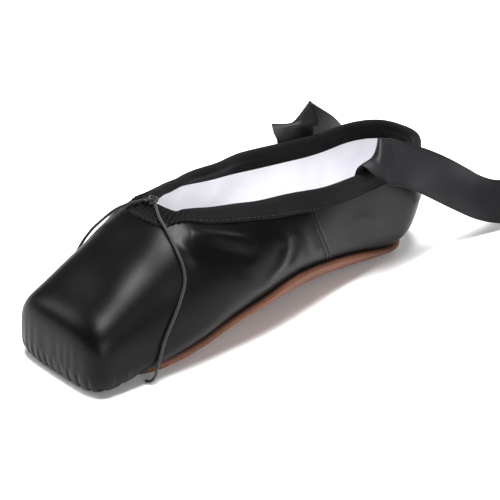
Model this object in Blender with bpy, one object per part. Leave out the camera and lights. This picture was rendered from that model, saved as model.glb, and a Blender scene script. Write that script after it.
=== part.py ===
"""Pointe shoe, empty, standing on its sole: toe towards -Y, heel towards +Y, floor at Z = 0.

The last is a closed form made of rounded cross-sections along the shoe. Every piece is cut
from that form: the upper is a wall inside it, the binding straddles the upper's top edge,
the outsole lies under it and the insole inside it.
"""
import bpy
import numpy as np

# Outside of the shoe
LENGTH = 0.235
BALL_WIDTH = 0.0746
HEEL_HEIGHT = 0.061
VAMP_HEIGHT = 0.0655
BOX_HEIGHT = 0.030
ARCH_RISE = 0.0042
TOE_CLEARANCE = 0.0005

# How the toe platform and the heel are rounded off
PLATFORM_ROUND = 0.013
PLATFORM_SQUARENESS = 4.5
PLATFORM_SLOPE = 0.04
HEEL_ROUND = 0.030
HEEL_SQUARENESS = 2.3
HEEL_LEAN = 0.17
HEEL_TUCK = 0.38
HEEL_TUCK_HEIGHT = 0.028

# Walls, leaves and clearances
UPPER_WALL = 0.0018
BOX_WALL = 0.0030
BOX_WALL_SHARE = (0.22, 0.34)
MARGIN = 0.014
SEAM_RISE = 0.0004
SEAM_WIDTH = 0.006
SEAM_BEVEL = 0.2
SEAM_CLEAR = 0.002
SEAM_PLACE = 0.567
FIT_GAP = 0.0004
FLOOR_GAP = 0.0003
SOLE_GAP = 0.0005
SOLE_THICKNESS = 0.0026
SOLE_PRESS = 0.0007
INSOLE_THICKNESS = 0.0016
BINDING_THICKNESS = 0.0008
BINDING_DEPTH = 0.0085
CORD_DIAMETER = 0.0013
RIBBON_WIDTH = 0.024
RIBBON_THICKNESS = 0.0005

# The line inside the last from which its rays fan out, and the shares of a half turn given
# to the heel and to heel and sides together
SPINE_FRONT = 0.094
SPINE_BACK = 0.201
FAN_HEEL = 0.2
FAN_TOE = 0.5

# Detail of the meshes
COLUMNS = 80
WALL_ROWS = 13
LINING_ROWS = 10
PLAN_STEPS = 1201
CLIMB_STEPS = 81
RAY_STEPS = 36
TURN_WEIGHT = 0.020
SLOPE_STEP = 0.00005
SEARCH_LENGTH = 0.16
STEEPEST = (-1.55, 1.56)

# Cross-sections of the last. Half widths are shares of BALL_WIDTH, the widest heights
# shares of HEEL_HEIGHT, the tops shares of VAMP_HEIGHT. The bottom is seat x the sole's
# seat + rise x ARCH_RISE.
SECTION_COLUMNS = ("place", "half_width", "seat", "rise", "widest", "top", "round_up", "round_down")
SECTIONS = (
    (0.00, 0.387, 0.00, 0.00, 0.230, 0.458, 3.0, 4.5),
    (0.05, 0.406, 0.00, 0.00, 0.230, 0.557, 2.8, 4.5),
    (0.10, 0.424, 0.85, 0.00, 0.246, 0.672, 2.6, 4.0),
    (0.15, 0.448, 1.00, 0.00, 0.279, 0.779, 2.4, 3.2),
    (0.21, 0.479, 1.00, 0.02, 0.344, 0.914, 2.2, 2.6),
    (0.25, 0.493, 1.00, 0.18, 0.393, 0.983, 2.1, 2.4),
    (0.30, 0.500, 1.00, 0.45, 0.475, 1.000, 2.0, 2.3),
    (0.40, 0.495, 1.00, 0.84, 0.570, 1.010, 2.1, 2.3),
    (0.52, 0.448, 1.00, 1.00, 0.600, 1.168, 1.75, 2.3),
    (0.64, 0.395, 1.00, 0.73, 0.530, 1.500, 2.7, 2.3),
    (0.76, 0.358, 1.00, 0.24, 0.430, 1.500, 3.4, 2.5),
    (0.88, 0.326, 1.00, 0.00, 0.361, 1.465, 3.0, 3.2),
    (1.00, 0.308, 1.00, 0.00, 0.344, 1.465, 3.0, 3.2),
)

# The top edge seen from the side: place along the shoe, and its height as a share of
# HEEL_HEIGHT plus a share of VAMP_HEIGHT
TOP_EDGE = (
    (0.00, 0.000, 1.835), (0.205, 0.000, 1.173), (0.245, 0.000, 0.974), (0.27, 0.000, 0.970),
    (0.33, 0.510, 0.475), (0.45, 0.990, 0.000), (0.64, 0.943, 0.000), (0.80, 0.923, 0.000),
    (0.91, 0.959, 0.000), (1.00, 1.000, 0.000),
)

# Outlines of the two soles: place along the shoe, half width as a share of the last's
SOLE_ENDS = (0.082, 0.935)
SOLE_SHARE = (
    (0.08, 0.74), (0.20, 0.84), (0.35, 0.90), (0.50, 0.93), (0.64, 0.90), (0.76, 0.875),
    (0.87, 0.80), (1.0, 0.72),
)
INSOLE_ENDS = (0.095, 0.958)
INSOLE_SHARE = ((0.08, 0.74), (0.20, 0.78), (0.40, 0.76), (0.60, 0.77), (0.85, 0.80), (1.0, 0.80))
SOLE_END_ROUND = 0.024
SOLE_END_SQUARENESS = 2.4
SOLE_END_STEP = 0.001
SOLE_CROWDING = 0.14
SOLE_ROWS = 28
SOLE_STRIPS = 10
SOLE_FAN = 1.1

# Routes of the loose pieces, metres, chosen by hand
CORD_NEAR = (
    (0.0023, -0.0617, 0.0661), (0.0094, -0.0655, 0.0634), (0.0156, -0.0669, 0.0604),
    (0.0220, -0.0681, 0.0555), (0.0287, -0.0691, 0.0482), (0.0312, -0.0703, 0.0425),
    (0.0329, -0.0738, 0.0369), (0.0338, -0.0775, 0.0313), (0.0342, -0.0812, 0.0257),
    (0.0341, -0.0842, 0.0200), (0.0339, -0.0860, 0.0140), (0.0329, -0.0872, 0.0080),
    (0.0325, -0.0887, 0.0034), (0.0312, -0.0901, 0.0013), (0.0290, -0.0909, 0.0011),
)
CORD_FAR = (
    (-0.0045, -0.0615, 0.0663), (-0.0108, -0.0650, 0.0633), (-0.0166, -0.0680, 0.0596),
    (-0.0221, -0.0712, 0.0538), (-0.0286, -0.0742, 0.0458), (-0.0318, -0.0776, 0.0385),
    (-0.0339, -0.0806, 0.0303), (-0.0346, -0.0830, 0.0221), (-0.0344, -0.0850, 0.0140),
    (-0.0333, -0.0865, 0.0080), (-0.0337, -0.0883, 0.0032), (-0.0372, -0.0908, 0.0012),
)

# A ribbon's middle line and the way its width points, toward its upper edge
RIBBON_NEAR = (
    (0.0228, 0.0560, 0.0500, -0.10, 0.99, 0.00), (0.0228, 0.0562, 0.0552, -0.10, 0.99, 0.06),
    (0.0228, 0.0564, 0.0606, -0.11, 0.98, 0.12), (0.0252, 0.0566, 0.0644, -0.22, 0.91, 0.32),
    (0.0284, 0.0605, 0.0628, -0.38, 0.74, 0.54), (0.0297, 0.0695, 0.0595, -0.48, 0.54, 0.69),
    (0.0301, 0.0790, 0.0553, -0.50, 0.36, 0.79), (0.0304, 0.0895, 0.0502, -0.42, 0.20, 0.88),
    (0.0307, 0.1005, 0.0443, -0.30, 0.12, 0.94), (0.0311, 0.1130, 0.0372, -0.22, 0.10, 0.96),
    (0.0315, 0.1260, 0.0296, -0.25, 0.10, 0.96), (0.0322, 0.1400, 0.0216, -0.35, 0.11, 0.93),
    (0.0341, 0.1560, 0.0152, -0.45, 0.11, 0.88), (0.0375, 0.1720, 0.0126, -0.50, 0.14, 0.85),
    (0.0431, 0.1880, 0.0119, -0.45, 0.19, 0.87), (0.0520, 0.2035, 0.0118, -0.30, 0.30, 0.90),
    (0.0645, 0.2150, 0.0120, -0.10, 0.30, 0.95), (0.0794, 0.2204, 0.0122, 0.00, 0.20, 0.98),
    (0.0935, 0.2166, 0.0122, 0.10, 0.10, 0.99), (0.1037, 0.2058, 0.0121, 0.20, 0.10, 0.97),
    (0.1089, 0.1908, 0.0118, 0.30, 0.00, 0.95), (0.1107, 0.1749, 0.0108, 0.45, 0.01, 0.90),
    (0.1104, 0.1589, 0.0092, 0.60, 0.01, 0.75), (0.1087, 0.1428, 0.0070, 0.80, 0.06, 0.55),
    (0.1060, 0.1273, 0.0045, 0.93, 0.12, 0.30), (0.1027, 0.1117, 0.0022, 0.98, 0.12, 0.10),
)
RIBBON_FAR = (
    (-0.0286, 0.0600, 0.0480, 0.10, 0.99, 0.05), (-0.0288, 0.0600, 0.0535, 0.10, 0.97, 0.15),
    (-0.0292, 0.0600, 0.0590, 0.10, 0.92, 0.32), (-0.0300, 0.0604, 0.0636, 0.11, 0.86, 0.47),
    (-0.0322, 0.0620, 0.0660, 0.12, 0.80, 0.58), (-0.0348, 0.0664, 0.0640, 0.15, 0.74, 0.64),
    (-0.0362, 0.0738, 0.0592, 0.18, 0.68, 0.70), (-0.0372, 0.0822, 0.0540, 0.20, 0.60, 0.77),
    (-0.0387, 0.0910, 0.0482, 0.20, 0.52, 0.82), (-0.0411, 0.1002, 0.0410, 0.20, 0.36, 0.91),
    (-0.0446, 0.1100, 0.0325, 0.20, 0.20, 0.95), (-0.0492, 0.1211, 0.0238, 0.20, 0.05, 0.97),
    (-0.0550, 0.1330, 0.0165, 0.18, -0.02, 0.98), (-0.0620, 0.1450, 0.0130, 0.12, -0.05, 0.99),
    (-0.0700, 0.1545, 0.0122, 0.05, -0.05, 1.00), (-0.0797, 0.1590, 0.0121, 0.00, -0.10, 1.00),
    (-0.0890, 0.1575, 0.0121, 0.05, -0.10, 0.99), (-0.0955, 0.1500, 0.0121, 0.15, -0.10, 0.98),
    (-0.0983, 0.1380, 0.0120, 0.25, -0.05, 0.96), (-0.0981, 0.1244, 0.0112, 0.40, 0.01, 0.90),
    (-0.0968, 0.1084, 0.0098, 0.55, 0.01, 0.80), (-0.0950, 0.0925, 0.0080, 0.70, 0.01, 0.65),
    (-0.0938, 0.0765, 0.0055, 0.86, 0.01, 0.45), (-0.0935, 0.0605, 0.0030, 0.95, 0.02, 0.20),
    (-0.0942, 0.0445, 0.0014, 1.00, 0.02, 0.03), (-0.0960, 0.0284, 0.0012, 1.00, -0.08, 0.00),
    (-0.0982, 0.0124, 0.0012, 1.00, -0.08, 0.00),
)
RIBBON_STEPS = 56
CORD_STEPS = 30

# The drawstring's knot
KNOT_PLACE = (-0.0014, -0.0605, 0.0669)
KNOT_RING = 0.0017
KNOT_TWIST = 0.0009
KNOT_STEPS = 30
KNOT_SIDES = 6
KNOT_SHRINK = 0.9


def columns(rows, names):
    """The columns of a table as named arrays."""
    return dict(zip(names, np.array(rows, float).T))


SHAPE = columns(SECTIONS, SECTION_COLUMNS)
EDGE = columns(TOP_EDGE, ("place", "of_heel", "of_vamp"))
SOLE_SEAT = SOLE_THICKNESS + SOLE_GAP - SOLE_PRESS


def smooth(places, values, at):
    """A smooth curve through the given points, read at any places."""
    slopes = np.gradient(values, places)
    i = np.clip(np.searchsorted(places, at) - 1, 0, len(places) - 2)
    span = places[i + 1] - places[i]
    t = np.clip((at - places[i]) / span, 0, 1)
    t2, t3 = t * t, t * t * t
    ends = (2 * t3 - 3 * t2 + 1) * values[i] + (3 * t2 - 2 * t3) * values[i + 1]
    return ends + span * ((t3 - 2 * t2 + t) * slopes[i] + (t3 - t2) * slopes[i + 1])


def smooth_route(points, count):
    """Points at even steps along a smooth curve through a route."""
    points = np.array(points, float)
    steps = np.linalg.norm(np.diff(points[:, :3], axis=0), axis=1)
    along = np.concatenate([[0], np.cumsum(steps)])
    at = np.linspace(0, along[-1], count)
    return np.stack([smooth(along, points[:, k], at) for k in range(points.shape[1])], -1)


# The last

def section(back):
    """Width, bottom, widest height, top and roundness of the last, back metres behind the toe."""
    at = np.clip(back / LENGTH, 0, 1)
    value = {name: smooth(SHAPE["place"], SHAPE[name], at) for name in SECTION_COLUMNS[1:]}
    seat = TOE_CLEARANCE + value["seat"] * (SOLE_SEAT - TOE_CLEARANCE)
    value["bottom"] = seat + value["rise"] * ARCH_RISE
    value["half_width"] = value["half_width"] * BALL_WIDTH
    value["widest"] = value["widest"] * HEEL_HEIGHT
    value["top"] = value["top"] * VAMP_HEIGHT
    return value


def depth(x, back, z):
    """Below 0 inside the last, 0 on its surface, above 0 outside."""
    cut = section(back)
    up = z >= cut["widest"]
    height = np.where(up, cut["top"] - cut["widest"], cut["widest"] - cut["bottom"])
    power = np.where(up, cut["round_up"], cut["round_down"])
    across = (np.abs(x) / cut["half_width"]) ** power
    ring = (across + (np.abs(z - cut["widest"]) / height) ** power) ** (1 / power)
    front = back - PLATFORM_SLOPE * (z - BOX_HEIGHT / 2)
    toe = np.maximum(0, (PLATFORM_ROUND - front) / PLATFORM_ROUND)
    lean = HEEL_LEAN * np.maximum(0, z - HEEL_TUCK_HEIGHT)
    tuck = HEEL_TUCK * np.maximum(0, HEEL_TUCK_HEIGHT - z)
    heel = np.maximum(0, (back + lean + tuck - LENGTH + HEEL_ROUND) / HEEL_ROUND)
    closed_toe = (ring ** PLATFORM_SQUARENESS + toe ** PLATFORM_SQUARENESS) ** (1 / PLATFORM_SQUARENESS)
    closed_heel = (ring ** HEEL_SQUARENESS + heel ** HEEL_SQUARENESS) ** (1 / HEEL_SQUARENESS)
    return np.where(back < LENGTH / 2, closed_toe, closed_heel) - 1


def outward(points):
    """Unit normals of the last at points, from the slope of depth."""
    slope = np.empty_like(points)
    for k in range(3):
        shift = np.zeros(3)
        shift[k] = SLOPE_STEP
        ahead, behind = (np.moveaxis(points + side * shift, -1, 0) for side in (1, -1))
        slope[..., k] = depth(*ahead) - depth(*behind)
    return slope / np.linalg.norm(slope, axis=-1, keepdims=True)


def spine(turn):
    """Foot point and direction of the rays: a fan at the heel, straight sides, a fan at the toe."""
    half = np.where(turn <= 0.5, turn, 1 - turn) * 2
    side = np.where(turn <= 0.5, 1.0, -1.0)
    heel = np.clip(half / FAN_HEEL, 0, 1) * np.pi / 2
    slide = np.clip((half - FAN_HEEL) / (FAN_TOE - FAN_HEEL), 0, 1)
    toe = np.clip((half - FAN_TOE) / (1 - FAN_TOE), 0, 1) * np.pi / 2
    back = SPINE_BACK - slide * (SPINE_BACK - SPINE_FRONT)
    height = smooth(SHAPE["place"], SHAPE["widest"], back / LENGTH) * HEEL_HEIGHT
    foot = np.stack([np.zeros_like(back), back, height], -1)
    return foot, np.stack([side * np.sin(heel + toe), np.cos(heel + toe)], -1)


def strike(foot, heading, climb):
    """Where rays that climb at an angle meet the last, found by halving."""
    ray = np.stack([np.cos(climb) * heading[..., 0], np.cos(climb) * heading[..., 1], np.sin(climb)], -1)
    near = np.zeros(ray.shape[:-1])
    far = near + SEARCH_LENGTH
    for _ in range(RAY_STEPS):
        middle = (near + far) / 2
        inside = depth(*np.moveaxis(foot + ray * middle[..., None], -1, 0)) < 0
        near = np.where(inside, middle, near)
        far = np.where(inside, far, middle)
    return foot + ray * near[..., None]


def halve(low, high, is_low):
    """The angle at which is_low turns false."""
    for _ in range(RAY_STEPS):
        middle = (low + high) / 2
        keep = is_low(middle)
        low = np.where(keep, middle, low)
        high = np.where(keep, high, middle)
    return (low + high) / 2


def spread(points, count, weight):
    """Shares along each row of points that step evenly by length plus turning."""
    leg = np.diff(points, axis=-2)
    size = np.linalg.norm(leg, axis=-1)
    way = leg / np.maximum(size, 1e-9)[..., None]
    bend = np.linalg.norm(np.diff(way, axis=-2), axis=-1)
    size[..., 1:] += weight * bend
    total = np.concatenate([np.zeros(size.shape[:-1] + (1,)), np.cumsum(size, -1)], -1)
    even = np.linspace(0, 1, count)
    share = np.linspace(0, 1, points.shape[-2])
    if total.ndim == 1:
        return np.interp(even * total[-1], total, share)
    return np.array([np.interp(even * row[-1], row, share) for row in total])


def plan_turns():
    """Turns of the columns round the shoe, closer where the outline bends, four at each seam."""
    turn = np.linspace(0, 1, PLAN_STEPS)
    outline = strike(*spine(turn), np.zeros_like(turn))
    even = spread(outline, COLUMNS + 1, TURN_WEIGHT)[:-1]
    edges = SEAM_PLACE * LENGTH + np.array((1, 1 - SEAM_BEVEL, SEAM_BEVEL - 1, -1)) * SEAM_WIDTH / 2
    slide = (SPINE_BACK - edges) / (SPINE_BACK - SPINE_FRONT)
    seam = (FAN_HEEL + slide * (FAN_TOE - FAN_HEEL)) / 2
    clear = np.min(np.abs(np.minimum(even, 1 - even)[:, None] - seam), axis=1) > SEAM_CLEAR
    return np.sort(np.concatenate([even[clear], seam, 1 - seam]))


def wall_rows(turn):
    """Angles of the rows of the upper, lasted margin to top edge, for each column."""
    foot, heading = spine(turn)
    widest = strike(foot, heading, np.zeros_like(turn))
    reach = np.linalg.norm((widest - foot)[:, :2], axis=1) - MARGIN
    edge_heights = EDGE["of_heel"] * HEEL_HEIGHT + EDGE["of_vamp"] * VAMP_HEIGHT

    def under_reach(climb):
        hit = strike(foot, heading, climb)
        return np.linalg.norm((hit - foot)[:, :2], axis=1) < reach

    def under_edge(climb):
        hit = strike(foot, heading, climb)
        return hit[:, 2] < smooth(EDGE["place"], edge_heights, hit[:, 1] / LENGTH)

    flat = np.zeros_like(turn)
    low = halve(flat + STEEPEST[0], flat, under_reach)
    high = halve(flat, flat + STEEPEST[1], under_edge)
    return foot, heading, low, high


def upper_surface(turn, count):
    """Grid of points on the last: a column per turn, count rows from the margin to the binding.

    Two more rows follow, at the binding's middle and at the top edge itself.
    """
    foot, heading, low, high = wall_rows(turn)
    fine = np.linspace(0, 1, CLIMB_STEPS)
    climb = low[:, None] + (high - low)[:, None] * fine
    foot, heading = foot[:, None], heading[:, None]
    dense = strike(np.broadcast_to(foot, climb.shape + (3,)), heading, climb)
    steps = np.linalg.norm(np.diff(dense, axis=1), axis=2)
    along = np.concatenate([np.zeros((len(turn), 1)), np.cumsum(steps, 1)], 1)
    grid = []
    for column, lengths in zip(dense, along):
        stop = np.interp(lengths[-1] - BINDING_DEPTH, lengths, np.arange(len(fine)))
        body = column[:int(stop) + 1]
        shares = spread(body, count, TURN_WEIGHT)
        rows = np.interp(shares, np.linspace(0, 1, len(body)), lengths[:len(body)])
        rows[-1] = lengths[-1] - BINDING_DEPTH
        rows = np.append(rows, [lengths[-1] - BINDING_DEPTH / 2, lengths[-1]])
        grid.append(np.stack([np.interp(rows, lengths, column[:, k]) for k in range(3)], -1))
    return np.array(grid)


def wall(points):
    """Thickness of the upper: the stiffened box is thicker than the quarters."""
    start, stop = BOX_WALL_SHARE
    t = np.clip((points[..., 1] / LENGTH - start) / (stop - start), 0, 1)
    return BOX_WALL + (UPPER_WALL - BOX_WALL) * t * t * (3 - 2 * t)


# Meshes

def to_world(points):
    """From places behind the toe to the shoe's own frame, centred along Y."""
    moved = np.array(points, float)
    moved[..., 1] -= LENGTH / 2
    return moved


def material(name, colour, roughness):
    """A Principled material of one colour and roughness."""
    made = bpy.data.materials.new(name)
    made.use_nodes = True
    shader = made.node_tree.nodes["Principled BSDF"]
    shader.inputs["Base Color"].default_value = (*colour, 1.0)
    shader.inputs["Roughness"].default_value = roughness
    return made


def add_mesh(name, points, faces, finish):
    """An object with the given points, faces and material."""
    mesh = bpy.data.meshes.new(name)
    mesh.from_pydata(points.reshape(-1, 3).tolist(), [], faces)
    mesh.shade_smooth()
    mesh.materials.append(finish)
    made = bpy.data.objects.new(name, mesh)
    bpy.context.scene.collection.objects.link(made)
    return made


def ring_faces(count, loop, mirrored, closed=True):
    """Triangles of a tube of count closed loops, each of loop points.

    The sides in mirrored are cut along the other diagonal, so that two faces back to back
    or face to face are cut alike and stay as far apart as their corners. Open tubes get ends.
    """
    faces = []
    for i in range(count if closed else count - 1):
        j = (i + 1) % count
        for k in range(loop):
            m = (k + 1) % loop
            a, b, c, d = i * loop + k, i * loop + m, j * loop + m, j * loop + k
            faces += [(a, b, d), (b, c, d)] if k in mirrored else [(a, b, c), (a, c, d)]
    if not closed:
        end = (count - 1) * loop
        faces += [tuple(reversed(range(loop))), tuple(range(end, end + loop))]
    return faces


def slab_faces(rows, strips):
    """Triangles of a sheet with a top and a bottom grid, rows x strips points each."""
    faces = []
    for i in range(rows - 1):
        for k in range(strips - 1):
            a, b = i * strips + k, i * strips + k + 1
            c, d = b + strips, a + strips
            faces += [(a, b, c), (a, c, d)]
            faces += [tuple(rows * strips + n for n in face) for face in ((a, c, b), (a, d, c))]
    rim = [k for k in range(strips)] + [i * strips + strips - 1 for i in range(1, rows)]
    rim += [(rows - 1) * strips + k for k in range(strips - 2, -1, -1)]
    rim += [i * strips for i in range(rows - 2, 0, -1)]
    for a, b in zip(rim, rim[1:] + rim[:1]):
        faces.append((b, a, rows * strips + a, rows * strips + b))
    return faces


# Pieces

def sole_half(back):
    """Half width of the outsole without its rounded ends."""
    places, shares = np.array(SOLE_SHARE).T
    return smooth(places, shares, back / LENGTH) * section(back)["half_width"]


def seam_height(points):
    """Height of the raised side seam, a band up each quarter from the outsole's edge."""
    x, back, z = np.moveaxis(points, -1, 0)
    in_band = np.abs(back - SEAM_PLACE * LENGTH) < SEAM_WIDTH / 2 * (1 - SEAM_BEVEL / 2)
    off_sole = (z > section(back)["widest"]) | (np.abs(x) > sole_half(back) + SEAM_RISE)
    return np.where(in_band & off_sole, SEAM_RISE, 0.0)


def add_upper(turns, grid, normal, finish):
    """The upper: outer face, top edge, inner face and lasted margin's edge in one closed wall."""
    skin = grid + normal * seam_height(grid)[..., None]
    back = upper_surface(turns, LINING_ROWS)
    lining = back - outward(back) * wall(back)[..., None]
    loops = np.concatenate([skin, lining[:, ::-1]], axis=1)
    count, loop = loops.shape[:2]
    inner_sides = range(skin.shape[1], loop - 1)
    return add_mesh("upper", to_world(loops), ring_faces(count, loop, inner_sides), finish)


def add_binding(grid, normal, finish):
    """The drawstring binding: a folded tape over the top edge, one leaf outside, one inside."""
    edge = grid[:, -1]
    up = edge - grid[:, -2]
    up /= np.linalg.norm(up, axis=-1, keepdims=True)
    thick = wall(grid)[..., None]
    outer = normal * seam_height(grid)[..., None]
    near, far = FIT_GAP, FIT_GAP + BINDING_THICKNESS
    rise = up * near
    crown = up * far
    quarter = normal[:, -1] * thick[:, -1] / 4
    top = edge - quarter * 2

    def off(row, distance):
        return grid[:, row] + outer[:, row] + normal[:, row] * distance

    def inside(row, distance):
        return grid[:, row] - normal[:, row] * (thick[:, row] + distance)

    loop = [
        off(-3, far), off(-2, far), off(-1, far) + rise, top + quarter + crown,
        top - quarter + crown, inside(-1, far) + rise, inside(-2, far), inside(-3, far),
        inside(-3, near), inside(-2, near), inside(-1, near) + rise,
        off(-1, near) + rise, off(-2, near), off(-3, near),
    ]
    loops = np.stack(loop, axis=1)
    sides_going_down = (5, 6, 11, 12)
    return add_mesh("binding", to_world(loops), ring_faces(len(grid), len(loop), sides_going_down), finish)


def sole_grid(ends, share):
    """Points on the underside of the last within an outline with rounded ends."""
    start, stop = (end * LENGTH for end in ends)
    t = -np.cos(np.linspace(SOLE_CROWDING, np.pi - SOLE_CROWDING, SOLE_ROWS)) / np.cos(SOLE_CROWDING)
    back = (start + stop) / 2 + ((stop - start) / 2 - SOLE_END_STEP) * t
    near_end = np.minimum(back - start, stop - back)
    dip = np.clip(1 - near_end / SOLE_END_ROUND, 0, 1)
    round_off = (1 - dip ** SOLE_END_SQUARENESS) ** (1 / SOLE_END_SQUARENESS)
    table = np.array(share)
    half = smooth(table[:, 0], table[:, 1], back / LENGTH) * section(back)["half_width"] * round_off
    across = np.sin(np.linspace(-1, 1, SOLE_STRIPS + 1) * SOLE_FAN) / np.sin(SOLE_FAN)
    x = half[:, None] * across
    back = np.broadcast_to(back[:, None], x.shape)
    high = np.broadcast_to(section(back)["widest"], x.shape)
    z = halve(high, high - VAMP_HEIGHT, lambda middle: depth(x, back, middle) < 0)
    points = np.stack([x, back, z], -1)
    return points, outward(points)


def add_outsole(finish):
    """The leather outsole: a curved sheet under the last, flat where it meets the floor."""
    points, normal = sole_grid(SOLE_ENDS, SOLE_SHARE)
    top = points + normal * SOLE_GAP
    bottom = points + normal * (SOLE_GAP + SOLE_THICKNESS)
    bottom[..., 2] = np.maximum(bottom[..., 2], 0)
    both = np.concatenate([top, bottom])
    return add_mesh("outsole", to_world(both), slab_faces(*points.shape[:2]), finish)


def add_insole(finish):
    """The insole sock: a thin sheet on the inside of the margin."""
    points, normal = sole_grid(INSOLE_ENDS, INSOLE_SHARE)
    seat = (wall(points) + SOLE_GAP)[..., None]
    bottom = points - normal * seat
    top = points - normal * (seat + INSOLE_THICKNESS)
    both = np.concatenate([top, bottom])
    return add_mesh("insole", to_world(both), slab_faces(*points.shape[:2]), finish)


def add_ribbon(name, route, finish):
    """A flat ribbon: its middle line and width direction read from one smooth route."""
    line = smooth_route(route, RIBBON_STEPS)
    middle, width = line[:, :3], line[:, 3:]
    way = np.gradient(middle, axis=0)
    way /= np.linalg.norm(way, axis=1, keepdims=True)
    width = width - way * np.sum(width * way, axis=1, keepdims=True)
    width *= RIBBON_WIDTH / 2 / np.linalg.norm(width, axis=1, keepdims=True)
    thick = np.cross(way, width) / RIBBON_WIDTH * RIBBON_THICKNESS
    reach = np.abs(width[:, 2]) + np.abs(thick[:, 2]) + FLOOR_GAP
    middle[:, 2] = np.maximum(middle[:, 2], reach)
    corners = [middle - width - thick, middle + width - thick, middle + width + thick, middle - width + thick]
    faces = ring_faces(RIBBON_STEPS, 4, (2,), closed=False)
    return add_mesh(name, np.stack(corners, axis=1), faces, finish)


def add_cord(name, route, finish):
    """A round cord along a route."""
    curve = bpy.data.curves.new(name, "CURVE")
    curve.dimensions = "3D"
    curve.bevel_depth = CORD_DIAMETER / 2
    curve.bevel_resolution = 2
    curve.use_fill_caps = True
    line = curve.splines.new("POLY")
    points = smooth_route(route, CORD_STEPS)
    line.points.add(CORD_STEPS - 1)
    line.points.foreach_set("co", np.insert(points, 3, 1.0, axis=1).ravel())
    curve.materials.append(finish)
    made = bpy.data.objects.new(name, curve)
    bpy.context.scene.collection.objects.link(made)
    return made


def add_knot(finish):
    """The drawstring's knot: a round cord that winds three times through a small ring."""
    turn = np.arange(KNOT_STEPS) / KNOT_STEPS * 2 * np.pi
    ring = KNOT_RING + KNOT_TWIST * np.cos(3 * turn)
    centre = np.stack([ring * np.cos(2 * turn), ring * np.sin(2 * turn), KNOT_TWIST * np.sin(3 * turn)], -1)
    way = np.roll(centre, -1, 0) - np.roll(centre, 1, 0)
    way /= np.linalg.norm(way, axis=1, keepdims=True)
    side = np.cross(way, (0, 0, 1.0))
    side /= np.linalg.norm(side, axis=1, keepdims=True)
    up = np.cross(side, way)
    angle = -np.arange(KNOT_SIDES) / KNOT_SIDES * 2 * np.pi
    hoop = side[:, None] * np.cos(angle)[:, None] + up[:, None] * np.sin(angle)[:, None]
    points = centre[:, None] + hoop * CORD_DIAMETER / 2 * KNOT_SHRINK + np.array(KNOT_PLACE)
    return add_mesh("drawstring_knot", points, ring_faces(KNOT_STEPS, KNOT_SIDES, ()), finish)


def clear_scene():
    """Remove what the new file holds."""
    for old in list(bpy.data.objects):
        bpy.data.objects.remove(old, do_unlink=True)


def build():
    """Make every piece."""
    clear_scene()
    satin = material("black_satin", (0.012, 0.012, 0.014), 0.38)
    cotton = material("black_cotton_tape", (0.016, 0.016, 0.018), 0.8)
    leather = material("tan_leather", (0.36, 0.17, 0.09), 0.6)
    lining = material("white_sock", (0.84, 0.82, 0.86), 0.8)
    turns = plan_turns()
    grid = upper_surface(turns, WALL_ROWS)
    normal = outward(grid)
    add_upper(turns, grid, normal, satin)
    add_binding(grid, normal, cotton)
    add_outsole(leather)
    add_insole(lining)
    add_knot(cotton)
    add_cord("drawstring_near", CORD_NEAR, cotton)
    add_cord("drawstring_far", CORD_FAR, cotton)
    add_ribbon("ribbon_near", RIBBON_NEAR, satin)
    add_ribbon("ribbon_far", RIBBON_FAR, satin)


build()
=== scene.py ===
"""A black satin pointe shoe, empty, on a white studio floor: toe towards -Y, heel towards +Y."""
import bpy
import numpy as np
from mathutils import Matrix, Vector


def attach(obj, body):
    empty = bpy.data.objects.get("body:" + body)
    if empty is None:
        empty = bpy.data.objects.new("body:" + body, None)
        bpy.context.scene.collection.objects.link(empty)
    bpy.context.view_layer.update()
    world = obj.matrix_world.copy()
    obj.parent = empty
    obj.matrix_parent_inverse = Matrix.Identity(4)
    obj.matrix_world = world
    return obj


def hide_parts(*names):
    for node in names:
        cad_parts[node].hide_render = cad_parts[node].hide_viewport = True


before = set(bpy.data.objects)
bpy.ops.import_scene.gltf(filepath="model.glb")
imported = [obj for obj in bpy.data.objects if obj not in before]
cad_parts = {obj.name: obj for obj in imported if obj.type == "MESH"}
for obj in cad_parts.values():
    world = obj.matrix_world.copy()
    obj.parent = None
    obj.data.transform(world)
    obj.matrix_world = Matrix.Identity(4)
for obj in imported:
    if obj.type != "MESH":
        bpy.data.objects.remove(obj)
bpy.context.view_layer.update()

# The view
# One still camera stands in front of the toe on the near side, looks down on the shoe and is
# rolled a little, as a hand-held one is.
EYE_AZIMUTH, EYE_HEIGHT, EYE_ROLL = 45.55, 26.3, 1.5
EYE_DISTANCE, EYE_ASIDE = 0.604, (0.0076, 0.0043)
EYE_TARGET = Vector((-0.00297, 0.0, 0.025))
LENS, LENS_SHIFT, SENSOR = 90.3, (0.040, 0.008), 36

turn, climb, roll = (np.radians(a) for a in (EYE_AZIMUTH, EYE_HEIGHT, EYE_ROLL))
toward = Vector((np.sin(turn) * np.cos(climb), -np.cos(turn) * np.cos(climb), np.sin(climb)))
level = Vector((np.cos(turn), np.sin(turn), 0.0))
raised = toward.cross(level)
side = level * np.cos(roll) + raised * np.sin(roll)
head = raised * np.cos(roll) - level * np.sin(roll)
eye = bpy.data.objects.new("eye", bpy.data.cameras.new("eye"))
bpy.context.scene.collection.objects.link(eye)
place = EYE_TARGET + toward * EYE_DISTANCE - side * EYE_ASIDE[0] - head * EYE_ASIDE[1]
eye.matrix_world = Matrix.Translation(place) @ Matrix((side, head, toward)).transposed().to_4x4()
eye.data.sensor_width = SENSOR
eye.data.lens = LENS
eye.data.shift_x, eye.data.shift_y = LENS_SHIFT
bpy.context.scene.camera = eye


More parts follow.
